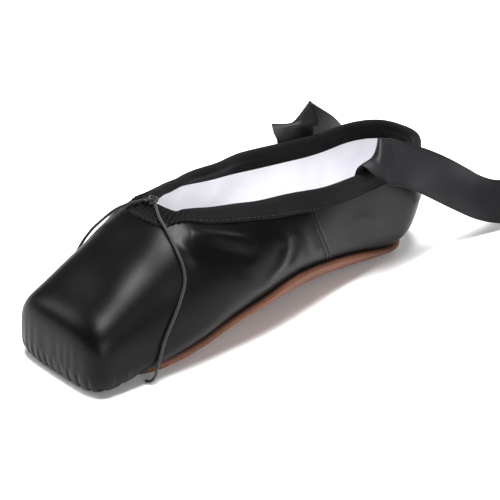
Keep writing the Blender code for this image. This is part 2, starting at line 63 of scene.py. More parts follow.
# The two ribbons
# Double-faced polyester satin, 24 mm wide, woven with a tight edge. The near one rises inside
# its quarter and crosses the binding, the far one rises outside its quarter. Both fall behind
# the shoe and end in a loop on the floor.
RIBBON_WIDTH, RIBBON_THICKNESS, RIBBON_STEPS = 0.024, 0.0005, 56
FLOOR_GAP = 0.0003
RIBBON_NEAR = (
    (0.0228, 0.0560, 0.0500, -0.10, 0.99, 0.00), (0.0228, 0.0562, 0.0552, -0.10, 0.99, 0.06),
    (0.0228, 0.0564, 0.0606, -0.11, 0.98, 0.12), (0.0252, 0.0566, 0.0644, -0.22, 0.91, 0.32),
    (0.0284, 0.0605, 0.0628, -0.38, 0.74, 0.54), (0.0297, 0.0695, 0.0595, -0.48, 0.54, 0.69),
    (0.0301, 0.0790, 0.0553, -0.50, 0.36, 0.79), (0.0304, 0.0895, 0.0502, -0.42, 0.20, 0.88),
    (0.0307, 0.1005, 0.0443, -0.30, 0.12, 0.94), (0.0311, 0.1130, 0.0372, -0.22, 0.10, 0.96),
    (0.0315, 0.1260, 0.0296, -0.25, 0.10, 0.96), (0.0322, 0.1400, 0.0216, -0.35, 0.11, 0.93),
    (0.0341, 0.1560, 0.0152, -0.45, 0.11, 0.88), (0.0375, 0.1720, 0.0126, -0.50, 0.14, 0.85),
    (0.0431, 0.1880, 0.0119, -0.45, 0.19, 0.87), (0.0520, 0.2035, 0.0118, -0.30, 0.30, 0.90),
    (0.0645, 0.2150, 0.0120, -0.10, 0.30, 0.95), (0.0794, 0.2204, 0.0122, 0.00, 0.20, 0.98),
    (0.0935, 0.2166, 0.0122, 0.10, 0.10, 0.99), (0.1037, 0.2058, 0.0121, 0.20, 0.10, 0.97),
    (0.1089, 0.1908, 0.0118, 0.30, 0.00, 0.95), (0.1107, 0.1749, 0.0108, 0.45, 0.01, 0.90),
    (0.1104, 0.1589, 0.0092, 0.60, 0.01, 0.75), (0.1087, 0.1428, 0.0070, 0.80, 0.06, 0.55),
    (0.1060, 0.1273, 0.0045, 0.93, 0.12, 0.30), (0.1027, 0.1117, 0.0022, 0.98, 0.12, 0.10),
)
RIBBON_FAR = (
    (-0.0286, 0.0600, 0.0480, 0.10, 0.99, 0.05), (-0.0288, 0.0600, 0.0535, 0.10, 0.97, 0.15),
    (-0.0292, 0.0600, 0.0590, 0.10, 0.92, 0.32), (-0.0300, 0.0604, 0.0636, 0.11, 0.86, 0.47),
    (-0.0322, 0.0620, 0.0660, 0.12, 0.80, 0.58), (-0.0348, 0.0664, 0.0640, 0.15, 0.74, 0.64),
    (-0.0362, 0.0738, 0.0592, 0.18, 0.68, 0.70), (-0.0372, 0.0822, 0.0540, 0.20, 0.60, 0.77),
    (-0.0387, 0.0910, 0.0482, 0.20, 0.52, 0.82), (-0.0411, 0.1002, 0.0410, 0.20, 0.36, 0.91),
    (-0.0446, 0.1100, 0.0325, 0.20, 0.20, 0.95), (-0.0492, 0.1211, 0.0238, 0.20, 0.05, 0.97),
    (-0.0550, 0.1330, 0.0165, 0.18, -0.02, 0.98), (-0.0620, 0.1450, 0.0130, 0.12, -0.05, 0.99),
    (-0.0700, 0.1545, 0.0122, 0.05, -0.05, 1.00), (-0.0797, 0.1590, 0.0121, 0.00, -0.10, 1.00),
    (-0.0890, 0.1575, 0.0121, 0.05, -0.10, 0.99), (-0.0955, 0.1500, 0.0121, 0.15, -0.10, 0.98),
    (-0.0983, 0.1380, 0.0120, 0.25, -0.05, 0.96), (-0.0981, 0.1244, 0.0112, 0.40, 0.01, 0.90),
    (-0.0968, 0.1084, 0.0098, 0.55, 0.01, 0.80), (-0.0950, 0.0925, 0.0080, 0.70, 0.01, 0.65),
    (-0.0938, 0.0765, 0.0055, 0.86, 0.01, 0.45), (-0.0935, 0.0605, 0.0030, 0.95, 0.02, 0.20),
    (-0.0942, 0.0445, 0.0014, 1.00, 0.02, 0.03), (-0.0960, 0.0284, 0.0012, 1.00, -0.08, 0.00),
    (-0.0982, 0.0124, 0.0012, 1.00, -0.08, 0.00),
)
RIBBON_FINE, RIBBON_THREADS = 7, (300.0, 2800.0, 1.0)
RIBBON_EDGE, RIBBON_EASE, SELVEDGE = 0.06, 0.03, (0.0017, 0.0011)
RIPPLE_HEIGHT, RIPPLE_LENGTH = 0.00022, 0.0085


def smooth(places, values, at):
    """Cubic Hermite curve through (places, values), its slopes from the neighbours."""
    slopes = np.gradient(values, places)
    i = np.clip(np.searchsorted(places, at) - 1, 0, len(places) - 2)
    span = places[i + 1] - places[i]
    t = np.clip((at - places[i]) / span, 0, 1)
    t2, t3 = t * t, t * t * t
    ends = (2 * t3 - 3 * t2 + 1) * values[i] + (3 * t2 - 2 * t3) * values[i + 1]
    return ends + span * ((t3 - 2 * t2 + t) * slopes[i] + (t3 - t2) * slopes[i + 1])


def smooth_route(points, count):
    """Points at even steps of length along the smooth curve through a route."""
    points = np.array(points, float)
    steps = np.linalg.norm(np.diff(points[:, :3], axis=0), axis=1)
    along = np.concatenate([[0], np.cumsum(steps)])
    at = np.linspace(0, along[-1], count)
    return np.stack([smooth(along, points[:, k], at) for k in range(points.shape[1])], -1)


def unit(vectors):
    """Each vector divided by its length."""
    return vectors / np.maximum(np.linalg.norm(vectors, axis=-1, keepdims=True), 1e-12)


def linear(colour):
    """An sRGB hex colour as linear RGBA."""
    value = np.array([int(colour[k:k + 2], 16) / 255 for k in (1, 3, 5)])
    value = np.where(value <= 0.04045, value / 12.92, ((value + 0.055) / 1.055) ** 2.4)
    return (*value, 1.0)


def node(tree, kind, settings=None, **links):
    """Add a node: settings are its attributes, links its sockets' values or their sources.

    A socket is named with _ for a space, or i and its number."""
    made = tree.nodes.new("ShaderNode" + kind)
    for name, value in (settings or {}).items():
        setattr(made, name, value)
    for name, value in links.items():
        socket = made.inputs[int(name[1:]) if name[1:].isdigit() else name.replace("_", " ")]
        if isinstance(value, bpy.types.NodeSocket):
            tree.links.new(value, socket)
        else:
            socket.default_value = value
    return made


def finish_of(name):
    """A new material's tree with its Principled shader."""
    made = bpy.data.materials.new(name)
    made.use_nodes = True
    return made, made.node_tree, made.node_tree.nodes["Principled BSDF"]


def ramp(tree, source, stops):
    """A colour ramp over source: stops are (place, hex colour)."""
    made = node(tree, "ValToRGB", Fac=source)
    points = made.color_ramp.elements
    while len(points) < len(stops):
        points.new(0.5)
    for point, (where, colour) in zip(points, stops):
        point.position = where
        point.color = linear(colour)
    return made.outputs["Color"]


def grid_mesh(name, points, uv, around=False, over=False):
    """A mesh of quads over a (rows x columns) grid of points.

    around joins its last row to its first, over its last column to its first. At such a join
    the UV map runs on by one more step."""
    rows, cols = points.shape[:2]
    i = np.arange(rows if around else rows - 1)[:, None]
    k = np.arange(cols if over else cols - 1)[None, :]
    j, m = (i + 1) % rows, (k + 1) % cols
    quads = np.broadcast_arrays(i * cols + k, i * cols + m, j * cols + m, j * cols + k)
    quads = np.stack(quads, -1)
    i, k = i + 0 * k, k + 0 * i
    mesh = bpy.data.meshes.new(name)
    mesh.vertices.add(rows * cols)
    mesh.vertices.foreach_set("co", points.reshape(-1).astype(np.float32))
    count = quads.shape[0] * quads.shape[1]
    mesh.loops.add(count * 4)
    mesh.loops.foreach_set("vertex_index", quads.reshape(-1).astype(np.int32))
    mesh.polygons.add(count)
    mesh.polygons.foreach_set("loop_start", np.arange(count, dtype=np.int32) * 4)
    layer = mesh.uv_layers.new(name="cloth")
    rolls = np.pad(uv, ((0, 1), (0, 1), (0, 0)), mode="edge")
    if around:
        rolls[rows, :cols] = uv[-1] * 2 - uv[-2]
    if over:
        rolls[:rows, cols] = uv[:, -1] * 2 - uv[:, -2]
    corners = np.stack([rolls[i, k], rolls[i, k + 1], rolls[i + 1, k + 1], rolls[i + 1, k]], 2)
    layer.data.foreach_set("uv", corners.reshape(-1).astype(np.float32))
    mesh.update(calc_edges=True)
    mesh.validate()
    mesh.shade_smooth()
    made = bpy.data.objects.new(name, mesh)
    bpy.context.scene.collection.objects.link(made)
    return made


def ribbon_line(route, steps):
    """Middle, unit width direction and unit thickness direction along a ribbon's route."""
    line = smooth_route(route, RIBBON_STEPS)
    middle, width = line[:, :3], line[:, 3:]
    way = unit(np.gradient(middle, axis=0))
    width = unit(width - way * np.sum(width * way, axis=1, keepdims=True))
    face = np.cross(way, width)
    reach = RIBBON_WIDTH / 2 * np.abs(width[:, 2]) + RIBBON_THICKNESS / 2 * np.abs(face[:, 2])
    middle[:, 2] = np.maximum(middle[:, 2], reach + FLOOR_GAP)
    fine = smooth_route(np.hstack([middle, width]), steps)
    middle, width = fine[:, :3], fine[:, 3:]
    way = unit(np.gradient(middle, axis=0))
    width = unit(width - way * np.sum(width * way, axis=1, keepdims=True))
    return middle, width, np.cross(way, width)


def lay_ribbon(name, route, cup, seed):
    """A flat band: across it s from -1 to 1, raised cup (1 - s^2) and rippled by long sines.

    Its two faces are RIBBON_THICKNESS apart and draw together over the last millimetre."""
    steps = RIBBON_STEPS * RIBBON_FINE
    middle, width, face = ribbon_line(route, steps)
    along = np.concatenate([[0], np.cumsum(np.linalg.norm(np.diff(middle, axis=0), axis=1))])
    s = np.sin(np.linspace(-1, 1, 21) * np.pi / 2)
    loop = np.concatenate([s, s[::-1]])
    edge = np.clip((1 - np.abs(loop)) / RIBBON_EDGE, 0, 1) ** 0.5
    half = RIBBON_THICKNESS / 2 * (0.35 + 0.65 * edge) * np.repeat([1, -1], len(s))
    ease = np.clip(along / RIBBON_EASE, 0, 1) * np.clip((along[-1] - along) / RIBBON_EASE, 0, 1)
    ripple = np.sin(along[:, None] / RIPPLE_LENGTH + seed + loop * 1.3) * RIPPLE_HEIGHT
    ripple = ripple * np.abs(loop) ** 2
    rise = ease[:, None] * (cup * (1 - loop ** 2) + ripple)
    points = (middle[:, None] + width[:, None] * (loop * RIBBON_WIDTH / 2)[:, None]
              + face[:, None] * (rise + half)[..., None])
    points[..., 2] = np.maximum(points[..., 2], FLOOR_GAP / 3)
    uv = np.stack(np.broadcast_arrays(along[:, None], loop * RIBBON_WIDTH / 2), -1)
    made = grid_mesh(name + "_satin", points[:, ::-1], uv[:, ::-1], over=True)
    made.data.materials.append(ribbon_satin)
    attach(made, "root")
    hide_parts(name)


# Satin weave: long floats lie along the ribbon, so the gloss is drawn out across it. The
# thread pitch is drawn at 0.35 mm, coarser than the real 0.1 mm, so that it shows.
ribbon_satin, tree, shader = finish_of("charcoal polyester satin ribbon")
place_uv = node(tree, "UVMap", {"uv_map": "cloth"})
apart = node(tree, "SeparateXYZ", Vector=place_uv.outputs["UV"])
off_edge = node(tree, "Math", {"operation": "ABSOLUTE"}, i0=apart.outputs["Y"])
selvedge = node(tree, "MapRange", Value=off_edge.outputs[0], From_Min=RIBBON_WIDTH / 2 - SELVEDGE[0],
                From_Max=RIBBON_WIDTH / 2 - SELVEDGE[1])
threads = node(tree, "Mapping", Vector=place_uv.outputs["UV"], Scale=RIBBON_THREADS)
floats = node(tree, "TexNoise", Vector=threads.outputs[0], Scale=1.0, Detail=2.0, Roughness=0.6)
patches = node(tree, "TexNoise", Vector=place_uv.outputs["UV"], Scale=60.0, Detail=3.0)
tone = node(tree, "Mix", {"data_type": "RGBA"}, i0=patches.outputs["Fac"], i6=linear("#202022"),
            i7=linear("#2b2b2e"))
body = node(tree, "Mix", {"data_type": "RGBA"}, i0=selvedge.outputs[0], i6=tone.outputs[2],
            i7=linear("#1d1d1f"))
tree.links.new(body.outputs[2], shader.inputs["Base Color"])
bump = node(tree, "Bump", Height=floats.outputs["Fac"], Strength=0.25, Distance=0.0002)
tree.links.new(bump.outputs[0], shader.inputs["Normal"])
shader.inputs["Roughness"].default_value = 0.42
shader.inputs["Specular IOR Level"].default_value = 0.2
shader.inputs["Sheen Weight"].default_value = 0.05
shader.inputs["Sheen Roughness"].default_value = 0.4

lay_ribbon("ribbon_near", RIBBON_NEAR, 0.0007, 0.0)
lay_ribbon("ribbon_far", RIBBON_FAR, 0.0006, 2.0)


# The drawstring
# A thin round braided cotton cord that runs in the binding round the whole opening. Its two
# ends come out at the throat, are knotted and hang down each side of the box.
CORD_DIAMETER, CORD_STEPS, CORD_FINE, CORD_SIDES = 0.0013, 30, 8, 10
OFF_EVERY_CORD = (0.13, 0.21, 0.97)
CORD_NEAR = (
    (0.0023, -0.0617, 0.0661), (0.0094, -0.0655, 0.0634), (0.0156, -0.0669, 0.0604),
    (0.0220, -0.0681, 0.0555), (0.0287, -0.0691, 0.0482), (0.0312, -0.0703, 0.0425),
    (0.0329, -0.0738, 0.0369), (0.0338, -0.0775, 0.0313), (0.0342, -0.0812, 0.0257),
    (0.0341, -0.0842, 0.0200), (0.0339, -0.0860, 0.0140), (0.0329, -0.0872, 0.0080),
    (0.0325, -0.0887, 0.0034), (0.0312, -0.0901, 0.0013), (0.0290, -0.0909, 0.0011),
)
CORD_FAR = (
    (-0.0045, -0.0615, 0.0663), (-0.0108, -0.0650, 0.0633), (-0.0166, -0.0680, 0.0596),
    (-0.0221, -0.0712, 0.0538), (-0.0286, -0.0742, 0.0458), (-0.0318, -0.0776, 0.0385),
    (-0.0339, -0.0806, 0.0303), (-0.0346, -0.0830, 0.0221), (-0.0344, -0.0850, 0.0140),
    (-0.0333, -0.0865, 0.0080), (-0.0337, -0.0883, 0.0032), (-0.0372, -0.0908, 0.0012),
)
KNOT_PLACE = np.array((-0.0014, -0.0605, 0.0669))
KNOT_RING, KNOT_TWIST, KNOT_SHRINK, KNOT_STEPS = 0.0017, 0.0009, 0.95, 240


def tube(name, centre, radius, closed=False):
    """A round tube: a circle of radius carried along the centre line on a frame that keeps level.

    The frame is level to OFF_EVERY_CORD, a direction that no stretch of cord runs along."""
    steps = np.roll(centre, -1, 0) - np.roll(centre, 1, 0) if closed else np.gradient(centre, axis=0)
    way = unit(steps)
    across = unit(np.cross(way, OFF_EVERY_CORD))
    up = np.cross(across, way)
    angle = np.arange(CORD_SIDES) / CORD_SIDES * 2 * np.pi
    hoop = across[:, None] * np.cos(angle)[:, None] + up[:, None] * np.sin(angle)[:, None]
    radius = np.broadcast_to(radius, len(centre))[:, None, None]
    points = centre[:, None] + hoop * radius
    along = np.concatenate([[0], np.cumsum(np.linalg.norm(np.diff(centre, axis=0), axis=1))])
    uv = np.stack(np.broadcast_arrays(along[:, None], angle * CORD_DIAMETER / 2), -1)
    return grid_mesh(name, points[:, ::-1], uv[:, ::-1], around=closed, over=True)


def hang_cord(name, route):
    """One end of the drawstring: a tube on the smooth route, round at its tip."""
    coarse = smooth_route(route, CORD_STEPS)
    centre = smooth_route(coarse, CORD_STEPS * CORD_FINE)
    length = float(np.linalg.norm(np.diff(coarse, axis=0), axis=1).sum())
    left = np.linspace(1, 0, len(centre)) * length
    cap = np.sqrt(np.clip(1 - (1 - np.clip(left / (CORD_DIAMETER / 2), 0, 1)) ** 2, 0.01, 1))
    made = tube(name + "_braid", centre, CORD_DIAMETER / 2 * cap)
    made.data.materials.append(drawstring_cotton)
    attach(made, "root")
    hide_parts(name)


# Braided cotton: slanted strands about 0.8 mm apart, painted dark between them as shade and
# grey on top as a highlight, so that the thin cord glints in short dashes.
drawstring_cotton, tree, shader = finish_of("black braided cotton cord")
place_uv = node(tree, "UVMap", {"uv_map": "cloth"})
strand = node(tree, "Mapping", Vector=place_uv.outputs["UV"], Rotation=(0, 0, 0.9))
braid = node(tree, "TexWave", {"wave_type": "BANDS"}, Vector=strand.outputs[0], Scale=380.0,
             Distortion=1.0)
# Painted light: the braid's bands colour the cord dark as shade between strands and grey as a highlight on
# their tops.
shade = ramp(tree, braid.outputs["Fac"], ((0.0, "#0e0e10"), (1.0, "#2c2c2f")))
tree.links.new(shade, shader.inputs["Base Color"])
bump = node(tree, "Bump", Height=braid.outputs["Fac"], Strength=0.5, Distance=0.0002)
tree.links.new(bump.outputs[0], shader.inputs["Normal"])
shader.inputs["Roughness"].default_value = 0.5
shader.inputs["Sheen Weight"].default_value = 0.2

hang_cord("drawstring_near", CORD_NEAR)
hang_cord("drawstring_far", CORD_FAR)

# The knot is a trefoil: twice round a ring, while its radius and height sway three times.
turns = np.linspace(0, 2 * np.pi, KNOT_STEPS, endpoint=False)
ring = KNOT_RING + KNOT_TWIST * np.cos(3 * turns)
knot_height = KNOT_TWIST * np.sin(3 * turns)
knot_line = np.stack([ring * np.cos(2 * turns), ring * np.sin(2 * turns), knot_height], -1)
knot = tube("drawstring_knot_tied", knot_line + KNOT_PLACE, CORD_DIAMETER / 2 * KNOT_SHRINK, closed=True)
knot.data.materials.append(drawstring_cotton)
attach(knot, "root")
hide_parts("drawstring_knot")


# The upper
# Black satin over stiffened canvas, turned inside out and pleated under the toe when it was
# lasted, with a side seam on each quarter. Inside it is lined with white cotton drill.
LENGTH, BALL_WIDTH, HEEL_HEIGHT, VAMP_HEIGHT = 0.235, 0.0746, 0.061, 0.0655
BOX_HEIGHT, ARCH_RISE, TOE_CLEARANCE = 0.030, 0.0042, 0.0005
PLATFORM_ROUND, PLATFORM_SQUARENESS, PLATFORM_SLOPE = 0.013, 4.5, 0.04
HEEL_ROUND, HEEL_SQUARENESS, HEEL_LEAN, HEEL_TUCK, HEEL_TUCK_HEIGHT = 0.030, 2.3, 0.17, 0.38, 0.028
UPPER_WALL, BOX_WALL, BOX_WALL_SHARE, MARGIN = 0.0018, 0.0030, (0.22, 0.34), 0.014
SOLE_THICKNESS, SOLE_GAP, SOLE_PRESS = 0.0026, 0.0005, 0.0007
SOLE_SEAT = SOLE_THICKNESS + SOLE_GAP - SOLE_PRESS
BINDING_DEPTH = 0.0085
SPINE_FRONT, SPINE_BACK, FAN_HEEL, FAN_TOE = 0.094, 0.201, 0.2, 0.5
SLOPE_STEP, SEARCH_LENGTH, RAY_HALVINGS, HALVINGS, ROW_SPAN = 0.00005, 0.16, 24, 26, 10.0
SECTION_COLUMNS = ("place", "half_width", "seat", "rise", "widest", "top", "round_up", "round_down")
SECTIONS = (
    (0.00, 0.387, 0.00, 0.00, 0.230, 0.458, 3.0, 4.5),
    (0.05, 0.406, 0.00, 0.00, 0.230, 0.557, 2.8, 4.5),
    (0.10, 0.424, 0.85, 0.00, 0.246, 0.672, 2.6, 4.0),
    (0.15, 0.448, 1.00, 0.00, 0.279, 0.779, 2.4, 3.2),
    (0.21, 0.479, 1.00, 0.02, 0.344, 0.914, 2.2, 2.6),
    (0.25, 0.493, 1.00, 0.18, 0.393, 0.983, 2.1, 2.4),
    (0.30, 0.500, 1.00, 0.45, 0.475, 1.000, 2.0, 2.3),
    (0.40, 0.495, 1.00, 0.84, 0.570, 1.010, 2.1, 2.3),
    (0.52, 0.448, 1.00, 1.00, 0.600, 1.168, 1.75, 2.3),
    (0.64, 0.395, 1.00, 0.73, 0.530, 1.500, 2.7, 2.3),
    (0.76, 0.358, 1.00, 0.24, 0.430, 1.500, 3.4, 2.5),
    (0.88, 0.326, 1.00, 0.00, 0.361, 1.465, 3.0, 3.2),
    (1.00, 0.308, 1.00, 0.00, 0.344, 1.465, 3.0, 3.2),
)
TOP_EDGE = (
    (0.00, 0.000, 1.835), (0.205, 0.000, 1.173), (0.245, 0.000, 0.974), (0.27, 0.000, 0.970),
    (0.33, 0.510, 0.475), (0.45, 0.990, 0.000), (0.64, 0.943, 0.000), (0.80, 0.923, 0.000),
    (0.91, 0.959, 0.000), (1.00, 1.000, 0.000),
)
LAST = dict(zip(SECTION_COLUMNS, np.array(SECTIONS).T))
EDGE_PLACE, OF_HEEL, OF_VAMP = np.array(TOP_EDGE).T
EDGE_HEIGHT = OF_HEEL * HEEL_HEIGHT + OF_VAMP * VAMP_HEIGHT


def section(back):
    """Width, bottom, widest height, top and roundness of the last, back metres behind the toe."""
    at = np.clip(back / LENGTH, 0, 1)
    value = {name: smooth(LAST["place"], LAST[name], at) for name in SECTION_COLUMNS[1:]}
    seat = TOE_CLEARANCE + value["seat"] * (SOLE_SEAT - TOE_CLEARANCE)
    value["bottom"] = seat + value["rise"] * ARCH_RISE
    value["half_width"] = value["half_width"] * BALL_WIDTH
    value["widest"] = value["widest"] * HEEL_HEIGHT
    value["top"] = value["top"] * VAMP_HEIGHT
    return value


def depth(x, back, z):
    """The last as a closed form, below 0 inside: superellipse sections with rounded-off ends."""
    cut = section(back)
    up = z >= cut["widest"]
    height = np.where(up, cut["top"] - cut["widest"], cut["widest"] - cut["bottom"])
    power = np.where(up, cut["round_up"], cut["round_down"])
    across = (np.abs(x) / cut["half_width"]) ** power
    ring = (across + (np.abs(z - cut["widest"]) / height) ** power) ** (1 / power)
    front = back - PLATFORM_SLOPE * (z - BOX_HEIGHT / 2)
    toe = np.maximum(0, (PLATFORM_ROUND - front) / PLATFORM_ROUND)
    lean = HEEL_LEAN * np.maximum(0, z - HEEL_TUCK_HEIGHT)
    tuck = HEEL_TUCK * np.maximum(0, HEEL_TUCK_HEIGHT - z)
    heel = np.maximum(0, (back + lean + tuck - LENGTH + HEEL_ROUND) / HEEL_ROUND)
    closed_toe = (ring ** PLATFORM_SQUARENESS + toe ** PLATFORM_SQUARENESS) ** (1 / PLATFORM_SQUARENESS)
    closed_heel = (ring ** HEEL_SQUARENESS + heel ** HEEL_SQUARENESS) ** (1 / HEEL_SQUARENESS)
    return np.where(back < LENGTH / 2, closed_toe, closed_heel) - 1


def outward(points):
    """Unit normals of the last at points, from the slope of its form."""
    slope = np.empty_like(points)
    for k in range(3):
        shift = np.zeros(3)
        shift[k] = SLOPE_STEP
        ahead, behind = (depth(*np.moveaxis(points + s * shift, -1, 0)) for s in (1, -1))
        slope[..., k] = ahead - behind
    return unit(slope)


def spine(turn):
    """Foot point and heading of the rays: a fan at the heel, straight sides, a fan at the toe."""
    half = np.where(turn <= 0.5, turn, 1 - turn) * 2
    side = np.where(turn <= 0.5, 1.0, -1.0)
    heel = np.clip(half / FAN_HEEL, 0, 1) * np.pi / 2
    slide = np.clip((half - FAN_HEEL) / (FAN_TOE - FAN_HEEL), 0, 1)
    toe = np.clip((half - FAN_TOE) / (1 - FAN_TOE), 0, 1) * np.pi / 2
    back = SPINE_BACK - slide * (SPINE_BACK - SPINE_FRONT)
    height = smooth(LAST["place"], LAST["widest"], back / LENGTH) * HEEL_HEIGHT
    foot = np.stack([np.zeros_like(back), back, height], -1)
    return foot, np.stack([side * np.sin(heel + toe), np.cos(heel + toe)], -1)


def strike(foot, heading, climb):
    """Where rays that climb at an angle meet the last, found by halving."""
    level = np.cos(climb)
    ray = np.stack([level * heading[..., 0], level * heading[..., 1], np.sin(climb)], -1)
    near = np.zeros(ray.shape[:-1])
    far = near + SEARCH_LENGTH
    for _ in range(RAY_HALVINGS):
        middle = (near + far) / 2
        inside = depth(*np.moveaxis(foot + ray * middle[..., None], -1, 0)) < 0
        near = np.where(inside, middle, near)
        far = np.where(inside, far, middle)
    return foot + ray * near[..., None]


def halve(low, high, is_low):
    """The value at which is_low turns false."""
    for _ in range(HALVINGS):
        middle = (low + high) / 2
        keep = is_low(middle)
        low, high = np.where(keep, middle, low), np.where(keep, high, middle)
    return (low + high) / 2


def lengths_of(points):
    """Length run along each row of points."""
    steps = np.linalg.norm(np.diff(points, axis=-2), axis=-1)
    return np.concatenate([np.zeros(steps.shape[:-1] + (1,)), np.cumsum(steps, -1)], -1)


def read_rows(values, along, wanted):
    """Each row of values read at the wanted lengths along that row, all rows at once.

    The rows are laid end to end, ROW_SPAN apart, which is longer than any of them."""
    apart = np.arange(len(values))[:, None] * ROW_SPAN
    flat = (along + apart).ravel()
    at = (wanted + apart).ravel()
    read = [np.interp(at, flat, values[..., k].ravel()) for k in range(values.shape[-1])]
    return np.stack(read, -1).reshape(wanted.shape + (values.shape[-1],))


# Round the outline the columns stand closer at the toe, where the pleats are, and at the seams.
OUTLINE_STEPS, COLUMNS, CLIMB_STEPS = 2401, 560, 161
CROWD_BACK = (0.03, 0.06, 0.115, 0.121, 0.152, 0.158)
CROWD_WEIGHT = (2.3, 1.0, 1.0, 2.4, 2.4, 1.0)
STEEPEST_DOWN, STEEPEST_UP = 1.55, 1.56
outline_turn = np.linspace(0, 1, OUTLINE_STEPS)
outline = strike(*spine(outline_turn), np.zeros_like(outline_turn))
run = lengths_of(outline)
crowd = np.interp((outline[1:, 1] + outline[:-1, 1]) / 2, CROWD_BACK, CROWD_WEIGHT)
weighed = np.concatenate([[0], np.cumsum(np.diff(run) * crowd)])
upper_turn = np.interp(np.arange(COLUMNS) / COLUMNS * weighed[-1], weighed, outline_turn)
upper_run = np.interp(upper_turn, outline_turn, run)

feet, headings = spine(upper_turn)
widest = strike(feet, headings, np.zeros_like(upper_turn))
reach = np.linalg.norm((widest - feet)[:, :2], axis=1) - MARGIN
level_ray = np.zeros_like(upper_turn)


def inside_margin(climb):
    """True where a ray meets the last further in than the turned-in margin reaches."""
    hit = strike(feet, headings, climb)
    return np.linalg.norm((hit - feet)[:, :2], axis=1) < reach


def under_edge(climb):
    """True where the last lies below the shoe's top edge."""
    hit = strike(feet, headings, climb)
    return hit[:, 2] < smooth(EDGE_PLACE, EDGE_HEIGHT, hit[:, 1] / LENGTH)


lowest = halve(level_ray - STEEPEST_DOWN, level_ray, inside_margin)
highest = halve(level_ray, level_ray + STEEPEST_UP, under_edge)
climbs = lowest[:, None] + (highest - lowest)[:, None] * np.linspace(0, 1, CLIMB_STEPS)
skin = strike(np.broadcast_to(feet[:, None], climbs.shape + (3,)), headings[:, None], climbs)
skin_run = lengths_of(skin)


def skin_below(down):
    """Points on the last at lengths down from the top edge, for every column."""
    return read_rows(skin, skin_run, skin_run[:, -1:] - down)


def wall(points):
    """Thickness of the upper: the stiffened box is thicker than the quarters."""
    start, stop = BOX_WALL_SHARE
    t = np.clip((points[..., 1] / LENGTH - start) / (stop - start), 0, 1)
    return BOX_WALL + (UPPER_WALL - BOX_WALL) * t * t * (3 - 2 * t)


def standing(points):
    """From places behind the toe to the shoe's own frame, centred along Y."""
    return points - np.array((0, LENGTH / 2, 0))


# Folds and troughs of the satin: height (below 0 a trough) and half width, then the line it
# follows as (x, back, z), all in mm. Both quarters are creased alike.
FOLDS = (
    (1.5, 3.0, ((20, 60, 57.5), (25, 70, 54.5), (30, 81, 50.5), (33, 88, 47.5))),
    (-1.3, 2.6, ((24, 58, 53), (28, 66, 50), (32, 76, 46.5), (35, 85, 43))),
    (0.7, 3.0, ((19, 53, 56), (25, 54, 52), (30, 57, 47))),
    (1.3, 3.0, ((32, 100, 50), (35, 105, 42), (36, 101, 36), (37, 91, 31))),
    (-1.1, 2.6, ((33, 110, 45), (35, 111, 38), (36, 106, 32))),
    (0.9, 2.4, ((33, 113, 46), (34, 117, 40), (33, 123, 33), (31, 130, 27))),
    (-0.7, 2.2, ((31, 120, 45), (32, 125, 38), (31, 131, 31))),
    (0.8, 3.5, ((37, 72, 38), (37, 84, 30), (36, 98, 25.5))),
    (0.6, 3.0, ((26, 158, 38), (25, 172, 33), (24, 184, 27))),
    (-0.5, 2.6, ((27, 150, 33), (25, 164, 27), (23, 176, 21))),
)
FOLD_STEPS, FOLD_END, FOLD_FADE = 48, 0.04, 0.006
PLEAT_DEPTH, PLEAT_PITCH, PLEAT_SWAY, PLEAT_RISE = 0.0011, 0.0046, 0.011, 0.010
PLEAT_BACK, PLEAT_FADE = 0.075, 0.035
GATHER_DEPTH, GATHER_PITCH, GATHER_SWAY = 0.00006, 0.0009, 0.004
GATHER_BACK, GATHER_BACK_FADE, GATHER_TOP, GATHER_TOP_FADE = 0.012, 0.006, 0.024, 0.010
SEAM_RISE, SEAM_HALF, SEAM_GROOVE = 0.0004, 0.0024, 0.0006
# The side seam from the binding down, as (height, distance behind the toe) in mm
SEAM_LINE = ((49.3, 126.8), (41.6, 129.4), (28.7, 137.3), (16.7, 145.3), (5.0, 152.5))


def fold_height(points):
    """Sum of soft ridges: height times a bell of the distance to each fold's line, both sides."""
    x = np.abs(points[..., 0])
    flat = np.stack([x, points[..., 1], points[..., 2]], -1) * 1000
    total = np.zeros(x.shape)
    for height, half, line in FOLDS:
        line = smooth_route(line, FOLD_STEPS)
        ends = np.sin(np.linspace(FOLD_END, np.pi - FOLD_END, FOLD_STEPS)) ** 0.7
        gap = np.linalg.norm(flat[..., None, :] - line, axis=-1)
        nearest = np.argmin(gap, axis=-1)
        bell = np.exp(-(np.min(gap, axis=-1) / half) ** 2)
        total += height / 1000 * bell * ends[nearest]
    return total


def pleat_height(points, along):
    """Pleats pinched in round the platform's lower edge, and faint gathers up its face."""
    back, z = points[..., 1], points[..., 2]
    low = np.clip(1 - (z - TOE_CLEARANCE) / PLEAT_RISE, 0, 1) ** 0.7
    front = np.clip((PLEAT_BACK - back) / PLEAT_FADE, 0, 1)
    wave = np.abs(np.sin(along / PLEAT_PITCH * np.pi + 1.3 * np.sin(along / PLEAT_SWAY)))
    face = np.clip((GATHER_BACK - back) / GATHER_BACK_FADE, 0, 1)
    face = face * np.clip((GATHER_TOP - z) / GATHER_TOP_FADE, 0, 1)
    gathers = GATHER_DEPTH * np.sin(along / GATHER_PITCH + 2.0 * np.sin(along / GATHER_SWAY)) * face
    return gathers - PLEAT_DEPTH * (1 - wave) ** 2 * low * front


def seam_place(z):
    """How far behind the toe the side seam lies at a height."""
    height, back = np.array(SEAM_LINE[::-1]).T / 1000
    return np.interp(z, height, back)


